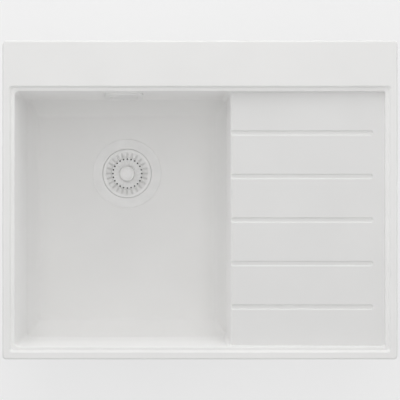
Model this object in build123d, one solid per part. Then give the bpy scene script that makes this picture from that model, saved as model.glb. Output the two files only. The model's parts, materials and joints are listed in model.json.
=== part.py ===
from build123d import *
import math
import os

# Inset kitchen sink with one bowl on the left and a grooved drainboard on the right.
# Millimetres. The origin is the centre of the sink in plan, on the worktop's surface.
# +X is to the right and +Y to the back, where the tap stands; +Z is up.

# ---- rim, steps and tap ledge ---------------------------------------------------------
SINK_LENGTH = 620.0
SINK_DEPTH = 500.0
RIM_HEIGHT = 9.0
OUTER_CORNER_R = 6.0
RIM_TOP_R = 3.0
RIM_LAND = 11.0
TAP_LEDGE = 71.0
STEP_DROP = 5.0
STEP_RUN = 3.0
STEP_CORNER_R = 5.0
STEP_EDGE_R = 1.0
LIP_DROP = 1.2
LEDGE_WIDTH = 5.0
WALL = 7.0

# ---- radii that several pieces share ----------------------------------------------------
BREAK_R = 0.4
SMALL_R = 0.8
SOFT_R = 1.5
FULL_R = 3.0

# ---- bowl -----------------------------------------------------------------------------
BOWL_LENGTH = 340.0
BOWL_DEPTH = 200.0
BOWL_DRAFT_DEG = 2.0
BOWL_CORNER_R = 7.0
BAND_RISE = 28.0
BAND_RUN_X = 17.0
BAND_RUN_Y = 27.0
BAND_WALL_DROP = 2.3
FLOOR_WALL = 8.0
DISH_R = 140.0
DISH_DROP = 2.0

# ---- drainboard -----------------------------------------------------------------------
BOARD_DROP = 8.0
BOARD_FALL = 4.0
BOARD_STEP_RUN = 2.5
BOARD_CORNER_R = 4.0
BOARD_EDGE_R = 3.5
BOARD_WALL = 8.0
GROOVE_COUNT = 5
GROOVE_PITCH = 68.5
GROOVE_LAST_Y = -168.5
GROOVE_WIDTH = 9.0
GROOVE_FLOOR_WIDTH = 4.6
GROOVE_DEPTH = 2.0
GROOVE_END_LAND = 18.0
GROOVE_OVERRUN = 14.0

# ---- worktop and rim seal -------------------------------------------------------------
WORKTOP_THICKNESS = 38.0
CUTOUT_INSET = 10.0
SEAL_INSET = 1.8
SEAL_WIDTH = 4.6
SEAL_THICKNESS = 2.0
SEAL_SIDE_CLEARANCE = 0.2

# ---- tap knock-outs under the tap ledge -------------------------------------------------
KNOCKOUT_R = 17.5
KNOCKOUT_SKIN = 3.5
KNOCKOUT_X = (-55.0, 55.0)
KNOCKOUT_FROM_BACK = 36.0

# ---- waste: flanged cup, body, screw ----------------------------------------------------
DRAIN_FROM_BACK = 127.0
DRAIN_HOLE_R = 45.0
DRAIN_BOSS_R = 64.0
DRAIN_BOSS_DROP = 5.0
FLANGE_R = 57.0
FLANGE_THICKNESS = 2.0
FLANGE_GASKET = 1.0
FLANGE_SIDE_CLEARANCE = 0.4
CUP_MOUTH_R = 40.6
CUP_SEAT_DROP = 3.5
CUP_BORE_R = 38.6
CUP_WALL = 2.0
CUP_DEPTH = 45.0
CUP_FLOOR = 2.0
CUP_SLOT_COUNT = 8
CUP_SLOT_WIDTH = 7.0
CUP_SLOT_INNER_R = 11.0
CUP_SLOT_OUTER_R = 29.0
GASKET_INSET = 1.0
WASTE_GASKET = 3.0
WASTE_BORE_R = 44.5
WASTE_WALL = 4.0
WASTE_FLANGE_R = 57.0
WASTE_FLANGE_THICKNESS = 5.0
WASTE_CONE_RISE = 14.0
OUTLET_R = 23.9
OUTLET_BORE_R = 20.5
OUTLET_LENGTH = 34.0
BOSS_R = 8.0
BOSS_LENGTH = 24.0
BOSS_RIB = 3.0
BOSS_RIB_COUNT = 3
SCREW_R = 3.0
SCREW_HEAD_R = 6.5
SCREW_HEAD_HEIGHT = 3.2
SCREW_DOME_R = 1.8
SCREW_SLOT_WIDTH = 1.4
SCREW_SLOT_DEPTH = 1.5
SCREW_CLEARANCE = 0.3
NUT_FLATS = 10.0
NUT_HEIGHT = 5.0
NUT_CLEARANCE = 0.1

# ---- strainer basket with its plug -----------------------------------------------------
BASKET_R = 39.8
BASKET_DROP = 0.6
BASKET_RIM_R = 36.0
BASKET_RIM_LIP = 0.5
BASKET_WELL_R = 25.5
BASKET_WELL_DROP = 10.5
BASKET_SHEET = 2.2
BASKET_SEAT_GAP = 0.3
SLOT_COUNT = 24
SLOT_WIDTH = 2.6
SLOT_INNER_R = 25.0
SLOT_OUTER_R = 35.2
SLOT_DEPTH = 1.2
HOLE_R = 1.5
HOLE_PITCH_R = 24.0
GUIDE_R = 8.0
GUIDE_LENGTH = 10.0
STEM_R = 4.0
STEM_CLEARANCE = 0.05
KNOB_R = 12.6
KNOB_NECK_R = 8.0
KNOB_NECK_HEIGHT = 3.2
KNOB_CAP_HEIGHT = 6.0
KNOB_UNDERCUT = 1.2
KNOB_SHOULDER_R = 2.2
KNOB_DOME_R = 5.0
KNOB_CROWN = 0.55
KNOB_GAP = 0.3
PLUG_LIFT = 8.0
PLUG_R = 34.0
PLUG_LIP = 4.0
PLUG_LIP_HEIGHT = 4.7
PLUG_SHEET = 2.5
PLUG_SEAT_GAP = 0.3
PLUG_DISC_R = 24.0
PLUG_DISC_THICKNESS = 2.0
PLUG_BUTTON_R = 9.0
PLUG_BUTTON_THICKNESS = 1.4
PLUG_NECK_R = 6.0

# ---- overflow: hood, frame, housing and pipe --------------------------------------------
HOOD_LENGTH = 60.6
HOOD_HEIGHT = 40.0
HOOD_BELOW_RIM = 34.0
HOOD_TOP_PROUD = 3.0
HOOD_PROUD = 10.5
HOOD_CORNER_R = 6.0
HOOD_EDGE_R = 1.5
HOOD_SHEET = 2.0
INLET_LENGTH = 42.0
INLET_SLIT = 2.0
INLET_TOP_DROP = 12.0
INLET_HEIGHT = 11.0
INLET_SILL = 4.0
FRAME_DROP = 23.0
FRAME_LENGTH = 55.0
FRAME_HEIGHT = 24.0
FRAME_THICKNESS = 1.5
DUCT_LENGTH = 32.0
DUCT_HEIGHT = 14.0
DUCT_WALL = 1.6
DUCT_CLEARANCE = 0.5
OVERFLOW_SCREW_X = 23.5
OVERFLOW_SCREW_R = 2.0
OVERFLOW_SCREW_HEAD_R = 3.4
OVERFLOW_SCREW_HEAD = 2.0
OVERFLOW_SCREW_CLEARANCE = 0.3
OVERFLOW_SLOT_WIDTH = 1.0
OVERFLOW_SLOT_DEPTH = 1.0
PAD_LENGTH = 64.0
PAD_HEIGHT = 42.0
PAD_FACE_OUT = 11.0
PLATE_CORNER_R = 3.0
HOUSING_CORNER_R = 4.0
OVERFLOW_GASKET = 2.0
HOUSING_LENGTH = 58.0
HOUSING_HEIGHT = 34.0
HOUSING_PLATE = 3.0
HOUSING_BOX_LENGTH = 40.0
HOUSING_BOX_DEPTH = 24.0
HOUSING_WALL = 3.0
HOUSING_BOSS_R = 4.0
HOUSING_BOSS_LENGTH = 10.0
SPIGOT_R = 13.0
SPIGOT_LENGTH = 20.0
SOCKET_DEPTH = 12.0
PIPE_R = 10.0
PIPE_BORE_R = 8.2
PIPE_CLEARANCE = 0.15
PIPE_BEND_R = 28.0
PIPE_INSERT = 10.0
INLET_BELOW_FLANGE = 22.0
INLET_REACH = 72.0
SLIP_NUT_R = 17.5
SLIP_NUT_SIDES = 8
SLIP_NUT_LENGTH = 16.0
SLIP_NUT_END = 3.0
SLIP_NUT_CLEARANCE = 0.15
WASHER_THICKNESS = 3.0

# ---- fixing clips ----------------------------------------------------------------------
CLIP_FROM_CUTOUT = 18.0
CLIP_BOSS_R = 8.0
CLIP_BOSS_ROOT_R = 9.5
CLIP_BOSS_DROP = 27.0
INSERT_R = 4.0
INSERT_LENGTH = 12.0
INSERT_FLANGE_R = 6.0
INSERT_FLANGE = 1.5
CLIP_SCREW_R = 2.5
CLIP_SCREW_FIT = 0.06
CLIP_SCREW_FLATS = 8.0
CLIP_SCREW_HEAD = 3.0
CLIP_SLOT_WIDTH = 1.2
CLIP_SLOT_DEPTH = 1.0
CLIP_STRIP = 2.0
CLIP_WIDTH = 18.0
CLIP_REACH = 26.0
CLIP_TAIL = 9.0
CLIP_TAIL_HEIGHT = 9.0
CLIP_TIP_GAP = 0.3
CLIP_LEG = 6.0
CLIP_TOOTH = 2.0
CLIP_BEND_R = 2.4
CLIP_HEAD_GAP = 0.3
BACK_CLIP_FROM_END = 80.0
RIGHT_CLIP_FROM_BACK = 160.0
RIGHT_CLIP_FROM_FRONT = 140.0
FRONT_CLIP_FROM_END = 70.0
FRONT_CLIP_FROM_BOWL = 61.0
LEFT_CLIP_FROM_BACK = 42.0

LEFT, RIGHT, FRONT, BACK = range(4)
OVERCUT = 1.0
TINY = 0.01
MIN3 = (Align.MIN, Align.MIN, Align.MIN)
BASE = (Align.CENTER, Align.CENTER, Align.MIN)
TOP = (Align.CENTER, Align.CENTER, Align.MAX)


def shrink(sides, run_x, run_y=None):
    """Sides (left, right, front, back) moved inward by run_x and run_y."""
    run_y = run_x if run_y is None else run_y
    return (sides[LEFT] + run_x, sides[RIGHT] - run_x, sides[FRONT] + run_y, sides[BACK] - run_y)


def block(sides, z_bottom, z_top):
    """Plain block between two heights."""
    size = (sides[RIGHT] - sides[LEFT], sides[BACK] - sides[FRONT], z_top - z_bottom)
    return Pos(sides[LEFT], sides[FRONT], z_bottom) * Box(*size, align=MIN3)


def leaning_block(top_sides, bottom_sides, z_top, z_bottom):
    """Block with four flat leaning sides between two rectangles."""
    wedge = Wedge(
        top_sides[RIGHT] - top_sides[LEFT],
        z_top - z_bottom,
        top_sides[BACK] - top_sides[FRONT],
        bottom_sides[LEFT] - top_sides[LEFT],
        bottom_sides[FRONT] - top_sides[FRONT],
        bottom_sides[RIGHT] - top_sides[LEFT],
        bottom_sides[BACK] - top_sides[FRONT],
        align=MIN3,
    )
    return Pos(top_sides[LEFT], top_sides[FRONT], z_top) * Rot(-90, 0, 0) * wedge


def level_edges(solid, z, sides=None):
    """Edges that lie level at a height, if sides is given only those within it."""
    edges = []
    for edge in solid.edges():
        box = edge.bounding_box()
        inside = sides is None or (
            box.min.X > sides[LEFT] - TINY
            and box.max.X < sides[RIGHT] + TINY
            and box.min.Y > sides[FRONT] - TINY
            and box.max.Y < sides[BACK] + TINY
        )
        if inside and box.size.Z < TINY and abs(box.max.Z - z) < TINY:
            edges.append(edge)
    return edges


def round_all_but_top(solid, z_top, radius):
    """Round every edge except those in the open top plane."""
    top = level_edges(solid, z_top)
    return fillet([e for e in solid.edges() if e not in top], radius)


def upright_edges(solid):
    """Edges that climb, from a solid made of an upright outline."""
    return [e for e in solid.edges() if e.bounding_box().size.Z > OVERCUT]


def turned(*points, radius=0.0):
    """Body of revolution about Z from (r, z) points, its corners rounded."""
    outline = FilletPolyline(*points, radius=radius, close=True)
    return revolve(Plane.XZ * make_face(outline), Axis.Z)


def ring(outer_r, inner_r, z_bottom, z_top):
    """Flat ring between two heights."""
    outer = Cylinder(outer_r, z_top - z_bottom, align=BASE)
    inner = Cylinder(inner_r, 3 * (z_top - z_bottom))
    return Pos(0, 0, z_bottom) * (outer - inner)


def rod(radius, z_bottom, z_top):
    """Upright cylinder between two heights."""
    return Pos(0, 0, z_bottom) * Cylinder(radius, z_top - z_bottom, align=BASE)


def hexagon(across_flats, height):
    """Hexagonal prism that stands on the origin."""
    return extrude(RegularPolygon(across_flats / 2, 6, major_radius=False), height)


# ---- heights and outlines that the pieces share ------------------------------------------
ledge_z = RIM_HEIGHT - STEP_DROP
lip_z = ledge_z - LIP_DROP
floor_z = RIM_HEIGHT - BOWL_DEPTH
crease_z = floor_z + BAND_RISE
dish_z = floor_z - DISH_DROP
flange_seat_z = dish_z - FLANGE_THICKNESS - FLANGE_GASKET
under_floor_z = floor_z - FLOOR_WALL
drain_boss_z = under_floor_z - DRAIN_BOSS_DROP
draft = math.tan(math.radians(BOWL_DRAFT_DEG))
draft_run = draft * (lip_z - crease_z)

outer = (-SINK_LENGTH / 2, SINK_LENGTH / 2, -SINK_DEPTH / 2, SINK_DEPTH / 2)
cutout = shrink(outer, CUTOUT_INSET)
step_top = (
    outer[LEFT] + RIM_LAND,
    outer[RIGHT] - RIM_LAND,
    outer[FRONT] + RIM_LAND,
    outer[BACK] - TAP_LEDGE,
)
step_foot = shrink(step_top, STEP_RUN)
well = shrink(step_foot, LEDGE_WIDTH)
bowl_top = (well[LEFT], well[LEFT] + BOWL_LENGTH, well[FRONT], well[BACK])
bowl_crease = shrink(bowl_top, draft_run)
bowl_floor = shrink(bowl_crease, BAND_RUN_X, BAND_RUN_Y)

drain_x = (bowl_top[LEFT] + bowl_top[RIGHT]) / 2
drain_y = bowl_top[BACK] - DRAIN_FROM_BACK

board_length = well[RIGHT] - bowl_top[RIGHT]
board_low_z = ledge_z - BOARD_DROP - BOARD_FALL
board_slope_deg = math.degrees(math.atan2(BOARD_FALL, board_length))
board_plane = Plane((bowl_top[RIGHT], 0, board_low_z)).rotated((0, -board_slope_deg, 0))

hood_top_z = RIM_HEIGHT - HOOD_BELOW_RIM
hood_foot_z = hood_top_z - HOOD_HEIGHT
duct_z = hood_top_z - FRAME_DROP
pad_y = bowl_top[BACK] + PAD_FACE_OUT
housing_y = pad_y + OVERFLOW_GASKET
housing_back_y = housing_y + HOUSING_PLATE + HOUSING_BOX_DEPTH
pipe_y = housing_back_y - SPIGOT_R
spigot_end_z = duct_z - HOUSING_HEIGHT / 2 - SPIGOT_LENGTH

cup_floor_z = dish_z - CUP_DEPTH
waste_top_z = drain_boss_z - WASTE_GASKET
waste_inlet_z = waste_top_z - INLET_BELOW_FLANGE
waste_inlet_end_y = drain_y + INLET_REACH
boss_foot_z = cup_floor_z - BOSS_LENGTH
outlet_top_z = cup_floor_z - WASTE_CONE_RISE
outlet_end_z = outlet_top_z - OUTLET_LENGTH

basket_top_z = dish_z - BASKET_DROP
basket_well_z = basket_top_z - BASKET_WELL_DROP
basket_seat_z = dish_z - CUP_SEAT_DROP + BASKET_SEAT_GAP
guide_foot_z = basket_well_z - BASKET_SHEET - GUIDE_LENGTH
plug_foot_z = cup_floor_z + CUP_FLOOR + PLUG_SEAT_GAP
plug_sheet_z = plug_foot_z + PLUG_LIP_HEIGHT
plug_top_z = plug_sheet_z + PLUG_SHEET
knob_foot_z = basket_well_z + KNOB_GAP
stem_top_z = knob_foot_z + KNOB_NECK_HEIGHT + KNOB_CAP_HEIGHT / 3
hub_top_z = guide_foot_z - PLUG_LIFT - KNOB_GAP

clip_tip_z = -WORKTOP_THICKNESS - CLIP_TIP_GAP
clip_base_z = clip_tip_z - CLIP_LEG
clip_line = shrink(cutout, CLIP_FROM_CUTOUT)

# each clip: name, axis position, and the direction of its claw in degrees from +X
CLIPS = (
    ("back_left", outer[LEFT] + BACK_CLIP_FROM_END, clip_line[BACK], 90),
    ("back_middle", 0, clip_line[BACK], 90),
    ("back_right", outer[RIGHT] - BACK_CLIP_FROM_END, clip_line[BACK], 90),
    ("right_back", clip_line[RIGHT], outer[BACK] - RIGHT_CLIP_FROM_BACK, 0),
    ("right_front", clip_line[RIGHT], outer[FRONT] + RIGHT_CLIP_FROM_FRONT, 0),
    ("front_right", outer[RIGHT] - FRONT_CLIP_FROM_END, clip_line[FRONT], -90),
    ("front_middle", bowl_top[RIGHT] + FRONT_CLIP_FROM_BOWL, clip_line[FRONT], -90),
    ("left_back", clip_line[LEFT], outer[BACK] - LEFT_CLIP_FROM_BACK, 180),
)


def at_drain(solid):
    """Move a solid made about Z onto the waste's axis."""
    return Pos(drain_x, drain_y) * solid


def wall_space():
    """The space between the drafted walls of the bowl, down to the crease."""
    return leaning_block(bowl_top, bowl_crease, lip_z, crease_z)


def bowl_cavity():
    """The space inside the bowl: drafted walls, a sloping band and a flat floor."""
    band = leaning_block(bowl_crease, bowl_floor, crease_z, floor_z)
    return round_all_but_top(wall_space() + band, lip_z, BOWL_CORNER_R)


def below_board(drop):
    """Half space under the sloping board, drop below its surface."""
    size = 4 * SINK_LENGTH
    return board_plane * Pos(0, 0, -drop) * Box(size, size, size, align=TOP)


def board_recess():
    """Space above the drainboard, which opens into the bowl on its left."""
    foot = shrink(well, BOARD_STEP_RUN)
    overlap = 3 * BOWL_CORNER_R
    top_sides = (bowl_top[RIGHT] - overlap, well[RIGHT], well[FRONT], well[BACK])
    foot_sides = (bowl_top[RIGHT] - overlap, foot[RIGHT], foot[FRONT], foot[BACK])
    recess = leaning_block(top_sides, foot_sides, lip_z, board_low_z - OVERCUT) - below_board(0)
    corners = [e for e in upright_edges(recess) if e.center().X > well[RIGHT] - 2 * BOARD_STEP_RUN]
    return fillet(corners, BOARD_CORNER_R)


def board_nose():
    """Cutter that rounds the edge where the drainboard turns down into the bowl."""
    slope = math.radians(board_slope_deg)
    lean = math.radians(BOWL_DRAFT_DEG)
    board_line = Vector(math.cos(slope), math.sin(slope))
    wall_line = Vector(-math.sin(lean), -math.cos(lean))
    corner_x = bowl_top[RIGHT] - draft * (lip_z - board_low_z)
    corner = Vector(corner_x, board_low_z - math.tan(slope) * (bowl_top[RIGHT] - corner_x))
    half_turn = (math.pi / 2 + slope + lean) / 2
    on_board = corner + board_line * (BOARD_EDGE_R / math.tan(half_turn))
    on_wall = corner + wall_line * (BOARD_EDGE_R / math.tan(half_turn))
    inward = (board_line + wall_line).normalized()
    centre = corner + inward * (BOARD_EDGE_R / math.sin(half_turn))
    over = Vector(-GROOVE_OVERRUN, 0)
    up = Vector(0, BOARD_DROP)
    arc = ThreePointArc(on_board, centre - inward * BOARD_EDGE_R, on_wall)
    rest = Polyline(on_wall, on_wall + over, on_wall + over + up, on_board + up, on_board)
    foot = shrink(well, BOARD_STEP_RUN)
    profile = make_face([arc, rest])
    return Pos(0, foot[BACK], 0) * extrude(Plane.XZ * profile, foot[BACK] - foot[FRONT])


def groove(y):
    """Channel cutter with a round far end and a mouth that runs out over the bowl."""
    start = -GROOVE_OVERRUN
    length = board_length - GROOVE_END_LAND - start
    centre = Pos(start + length / 2, y, 0)
    flare = (GROOVE_WIDTH - GROOVE_FLOOR_WIDTH) / 2
    lip = centre * SlotOverall(length, GROOVE_WIDTH)
    bed = centre * SlotOverall(length - 2 * flare, GROOVE_FLOOR_WIDTH)
    mouth = extrude(lip, GROOVE_DEPTH)
    channel = loft([Pos(0, 0, -GROOVE_DEPTH) * bed, lip], ruled=True)
    return board_plane * (mouth + channel)


def seal_loop(width, z_bottom, z_top, clearance):
    """Rectangular band under the rim, clearance narrower on both sides than its groove."""
    outside = shrink(outer, SEAL_INSET + clearance)
    inside = shrink(outside, width - 2 * clearance)
    band = block(outside, z_bottom, z_top) - block(inside, z_bottom - OVERCUT, z_top + OVERCUT)
    return fillet(upright_edges(band), STEP_EDGE_R)


def rim_slab():
    """The rim and tap ledge: a flat slab that rests on the worktop, its top edge rolled."""
    slab = fillet(upright_edges(block(outer, 0, RIM_HEIGHT)), OUTER_CORNER_R)
    return fillet(level_edges(slab, RIM_HEIGHT), RIM_TOP_R)


def stepped(body, bowl, board):
    """Cut the rim's step and the mouth of the wells, and soften both their edges."""
    step = leaning_block(step_top, step_foot, RIM_HEIGHT, ledge_z)
    body -= fillet(upright_edges(step), STEP_CORNER_R)
    body = fillet(level_edges(body, RIM_HEIGHT, step_top), STEP_EDGE_R)
    wells = bowl + board
    mouth = [f for f in wells.faces() if abs(f.center().Z - lip_z) < TINY]
    body -= extrude(Sketch(children=mouth), LIP_DROP, dir=(0, 0, 1))
    return fillet(level_edges(body, ledge_z, well), STEP_EDGE_R)


def bowl_shell():
    """Outside of the bowl, a wall's thickness from the cavity, with the drain boss."""
    top_sides = shrink(bowl_top, -WALL)
    crease_sides = shrink(bowl_crease, -WALL)
    tilt_x = math.atan2(BAND_RISE, BAND_RUN_X)
    tilt_y = math.atan2(BAND_RISE, BAND_RUN_Y)
    floor_sides = shrink(bowl_floor, -WALL * math.tan(tilt_x / 2), -WALL * math.tan(tilt_y / 2))
    shell_crease_z = crease_z - BAND_WALL_DROP
    walls = leaning_block(top_sides, crease_sides, OVERCUT, shell_crease_z)
    band = leaning_block(crease_sides, floor_sides, shell_crease_z, under_floor_z)
    shell = round_all_but_top(walls + band, OVERCUT, BOWL_CORNER_R + WALL)
    return shell + at_drain(rod(DRAIN_BOSS_R, drain_boss_z, floor_z))


def board_shell():
    """Underside of the drainboard, parallel to its surface."""
    sides = (bowl_top[RIGHT], well[RIGHT] + WALL, well[FRONT] - WALL, well[BACK] + WALL)
    raw = block(sides, board_low_z - BOARD_WALL, OVERCUT)
    corners = [e for e in upright_edges(raw) if e.center().X > bowl_top[RIGHT] + OVERCUT]
    return fillet(corners, BOARD_CORNER_R + WALL) - below_board(BOARD_WALL)


def overflow_pad():
    """Flat upright pad on the back of the bowl, where the overflow housing seats."""
    x_half = PAD_LENGTH / 2
    top_z = hood_top_z + (PAD_HEIGHT - HOOD_HEIGHT) / 2
    sides = (drain_x - x_half, drain_x + x_half, bowl_crease[BACK], pad_y)
    return block(sides, top_z - PAD_HEIGHT, top_z)


def wall_y(z):
    """Where the drafted back wall of the bowl stands at a height."""
    return bowl_top[BACK] - draft * (lip_z - z)


def upright_slab(length, height, y_front, y_back, corner_r=SMALL_R, z=duct_z):
    """Upright slab with rounded corners, centred on the overflow unless z is given."""
    outline = Plane.XZ * RectangleRounded(length, height, corner_r)
    return Pos(drain_x, y_back, z) * extrude(outline, y_back - y_front)


def along_y(offset, radius, y_front, y_back):
    """Cylinder along Y, offset sideways from the middle of the overflow duct."""
    cylinder = Rot(90, 0, 0) * Cylinder(radius, y_back - y_front, align=BASE)
    return Pos(drain_x + offset, y_back, duct_z) * cylinder


def overflow_screw_holes(y_front, y_back):
    """The pair of clearance holes for the overflow screws."""
    radius = OVERFLOW_SCREW_R + OVERFLOW_SCREW_CLEARANCE
    return [along_y(side * OVERFLOW_SCREW_X, radius, y_front, y_back) for side in (-1, 1)]


def duct_opening(y_front, y_back):
    """Clearance slot around the overflow duct."""
    length = DUCT_LENGTH + 2 * DUCT_CLEARANCE
    height = DUCT_HEIGHT + 2 * DUCT_CLEARANCE
    return upright_slab(length, height, y_front, y_back)


def overflow_cuts():
    """Duct slot and screw holes through the back wall of the bowl."""
    reach = (bowl_floor[BACK], pad_y + OVERCUT)
    return duct_opening(*reach) + overflow_screw_holes(*reach)


def drain_cuts():
    """Shallow dish round the drain, the flange's seat and the hole under it."""
    run = DISH_R - FLANGE_R
    arc_r = (run**2 + DISH_DROP**2) / (2 * DISH_DROP)
    middle = ((FLANGE_R + DISH_R) / 2, floor_z - arc_r + math.sqrt(arc_r**2 - (run / 2) ** 2))
    rise = ThreePointArc((FLANGE_R, dish_z), middle, (DISH_R, floor_z))
    rest = Polyline((DISH_R, floor_z), (0, floor_z), (0, dish_z), (FLANGE_R, dish_z))
    dish = revolve(Plane.XZ * make_face([rise, rest]), Axis.Z)
    seat = rod(FLANGE_R + FLANGE_SIDE_CLEARANCE, flange_seat_z, floor_z)
    return dish + seat + rod(DRAIN_HOLE_R, drain_boss_z - OVERCUT, floor_z)


def sink_body():
    """The one-piece moulding: rim, steps, bowl, drainboard, bosses and holes."""
    bowl = bowl_cavity()
    board = board_recess()
    body = stepped(rim_slab() + bowl_shell() + board_shell() + overflow_pad(), bowl, board)
    for _, x, y, _ in CLIPS:
        taper = Cone(CLIP_BOSS_R, CLIP_BOSS_ROOT_R, CLIP_BOSS_DROP, align=BASE)
        body += Pos(x, y, -CLIP_BOSS_DROP) * taper
        body -= Pos(x, y) * rod(INSERT_R, -CLIP_BOSS_DROP - OVERCUT, INSERT_LENGTH - CLIP_BOSS_DROP)
    body -= bowl
    body -= board
    body -= board_nose()
    for index in range(GROOVE_COUNT):
        body -= groove(GROOVE_LAST_Y + index * GROOVE_PITCH)
    body -= at_drain(drain_cuts())
    body -= overflow_cuts()
    body -= seal_loop(SEAL_WIDTH, -OVERCUT, SEAL_THICKNESS, 0)
    for x in KNOCKOUT_X:
        depth = RIM_HEIGHT - KNOCKOUT_SKIN
        body -= Pos(x, outer[BACK] - KNOCKOUT_FROM_BACK) * rod(KNOCKOUT_R, -OVERCUT, depth)
    return body


def rim_seal():
    """Foam strip in the groove under the rim."""
    return seal_loop(SEAL_WIDTH, 0, SEAL_THICKNESS, SEAL_SIDE_CLEARANCE)


def waste_flange():
    """Turned cup with a flush flange, a seat for the basket and a slotted floor."""
    flange_z = dish_z - FLANGE_THICKNESS
    seat_z = dish_z - CUP_SEAT_DROP
    cup_r = CUP_BORE_R + CUP_WALL
    neck_r = CUP_MOUTH_R + CUP_WALL
    cup = turned(
        (CUP_MOUTH_R, dish_z),
        (FLANGE_R, dish_z),
        (FLANGE_R, flange_z),
        (neck_r, flange_z),
        (neck_r, seat_z - CUP_WALL),
        (cup_r, seat_z - 2 * CUP_WALL),
        (cup_r, cup_floor_z),
        (0, cup_floor_z),
        (0, cup_floor_z + CUP_FLOOR),
        (CUP_BORE_R, cup_floor_z + CUP_FLOOR),
        (CUP_BORE_R, seat_z),
        (CUP_MOUTH_R, seat_z),
        radius=(
            BREAK_R, SMALL_R, BREAK_R, SMALL_R, 0, 0,
            SOFT_R, 0, 0, SMALL_R, BREAK_R, BREAK_R,
        ),
    )
    slot_length = CUP_SLOT_OUTER_R - CUP_SLOT_INNER_R
    slot_r = (CUP_SLOT_OUTER_R + CUP_SLOT_INNER_R) / 2
    slot = extrude(SlotOverall(slot_length, CUP_SLOT_WIDTH), 3 * CUP_FLOOR)
    for place in PolarLocations(slot_r, CUP_SLOT_COUNT):
        cup -= Pos(0, 0, cup_floor_z - CUP_FLOOR) * place * slot
    return cup - rod(SCREW_R + SCREW_CLEARANCE, cup_floor_z - OVERCUT, cup_floor_z + 2 * CUP_FLOOR)


def flange_gasket():
    """Flat ring between the flange and its seat."""
    outer_r = FLANGE_R - GASKET_INSET
    inner_r = DRAIN_HOLE_R + GASKET_INSET
    return ring(outer_r, inner_r, flange_seat_z, dish_z - FLANGE_THICKNESS)


def waste_gasket():
    """Thick ring between the sink's drain boss and the waste body."""
    outer_r = WASTE_FLANGE_R - GASKET_INSET
    inner_r = WASTE_BORE_R + GASKET_INSET
    return ring(outer_r, inner_r, waste_top_z, drain_boss_z)


def waste_body():
    """Moulded body under the sink: clamp flange, bowl, threaded outlet, overflow inlet, boss."""
    wall_r = WASTE_BORE_R + WASTE_WALL
    bowl_foot_z = cup_floor_z - WASTE_WALL
    flange_foot_z = waste_top_z - WASTE_FLANGE_THICKNESS
    shell = turned(
        (0, waste_top_z),
        (WASTE_FLANGE_R, waste_top_z),
        (WASTE_FLANGE_R, flange_foot_z),
        (wall_r, flange_foot_z),
        (wall_r, bowl_foot_z),
        (OUTLET_R, outlet_top_z - WASTE_WALL),
        (OUTLET_R, outlet_end_z),
        (0, outlet_end_z),
        radius=(0, SMALL_R, SMALL_R, SOFT_R, FULL_R, SOFT_R, SMALL_R, 0),
    )
    spigot_length = waste_inlet_end_y - drain_y
    spigot = Pos(0, spigot_length, waste_inlet_z) * Rot(90, 0, 0)
    shell += spigot * Cylinder(SPIGOT_R, spigot_length, align=BASE)
    hollow = turned(
        (0, waste_top_z + OVERCUT),
        (WASTE_BORE_R, waste_top_z + OVERCUT),
        (WASTE_BORE_R, cup_floor_z),
        (OUTLET_BORE_R, outlet_top_z),
        (OUTLET_BORE_R, outlet_end_z - OVERCUT),
        (0, outlet_end_z - OVERCUT),
        radius=(0, 0, FULL_R, SOFT_R, 0, 0),
    )
    shell -= hollow
    shell -= spigot * Cylinder(PIPE_BORE_R, spigot_length - WASTE_BORE_R + WASTE_WALL, align=BASE)
    shell -= spigot * Cylinder(PIPE_R + PIPE_CLEARANCE, SOCKET_DEPTH, align=BASE)
    spider_z = outlet_top_z + BOSS_RIB
    spider = rod(BOSS_R, boss_foot_z, cup_floor_z)
    rib = Box(
        OUTLET_BORE_R + WASTE_WALL / 2,
        BOSS_RIB,
        spider_z - boss_foot_z,
        align=(Align.MIN, Align.CENTER, Align.MIN),
    )
    for place in PolarLocations(0, BOSS_RIB_COUNT, start_angle=-90):
        spider += Pos(0, 0, boss_foot_z) * place * rib
    shell += spider
    shell -= rod(SCREW_R + SCREW_CLEARANCE, boss_foot_z - OVERCUT, cup_floor_z + OVERCUT)
    return shell - Pos(0, 0, boss_foot_z) * hexagon(NUT_FLATS + 2 * NUT_CLEARANCE, NUT_HEIGHT)


def waste_screw():
    """Domed screw with a driver slot, down through the cup into the nut."""
    seat_z = cup_floor_z + CUP_FLOOR
    head = turned(
        (0, seat_z),
        (SCREW_HEAD_R, seat_z),
        (SCREW_HEAD_R, seat_z + SCREW_HEAD_HEIGHT),
        (0, seat_z + SCREW_HEAD_HEIGHT),
        radius=(0, BREAK_R, SCREW_DOME_R, 0),
    )
    slot = Box(3 * SCREW_HEAD_R, SCREW_SLOT_WIDTH, 2 * SCREW_SLOT_DEPTH)
    slot = Pos(0, 0, seat_z + SCREW_HEAD_HEIGHT) * slot
    return head + rod(SCREW_R, boss_foot_z - OVERCUT, seat_z) - slot


def waste_nut():
    """Hexagonal nut held in the pocket at the boss's foot."""
    blank = hexagon(NUT_FLATS, NUT_HEIGHT)
    return Pos(0, 0, boss_foot_z) * (blank - Cylinder(SCREW_R + STEM_CLEARANCE, 3 * NUT_HEIGHT))


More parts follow.
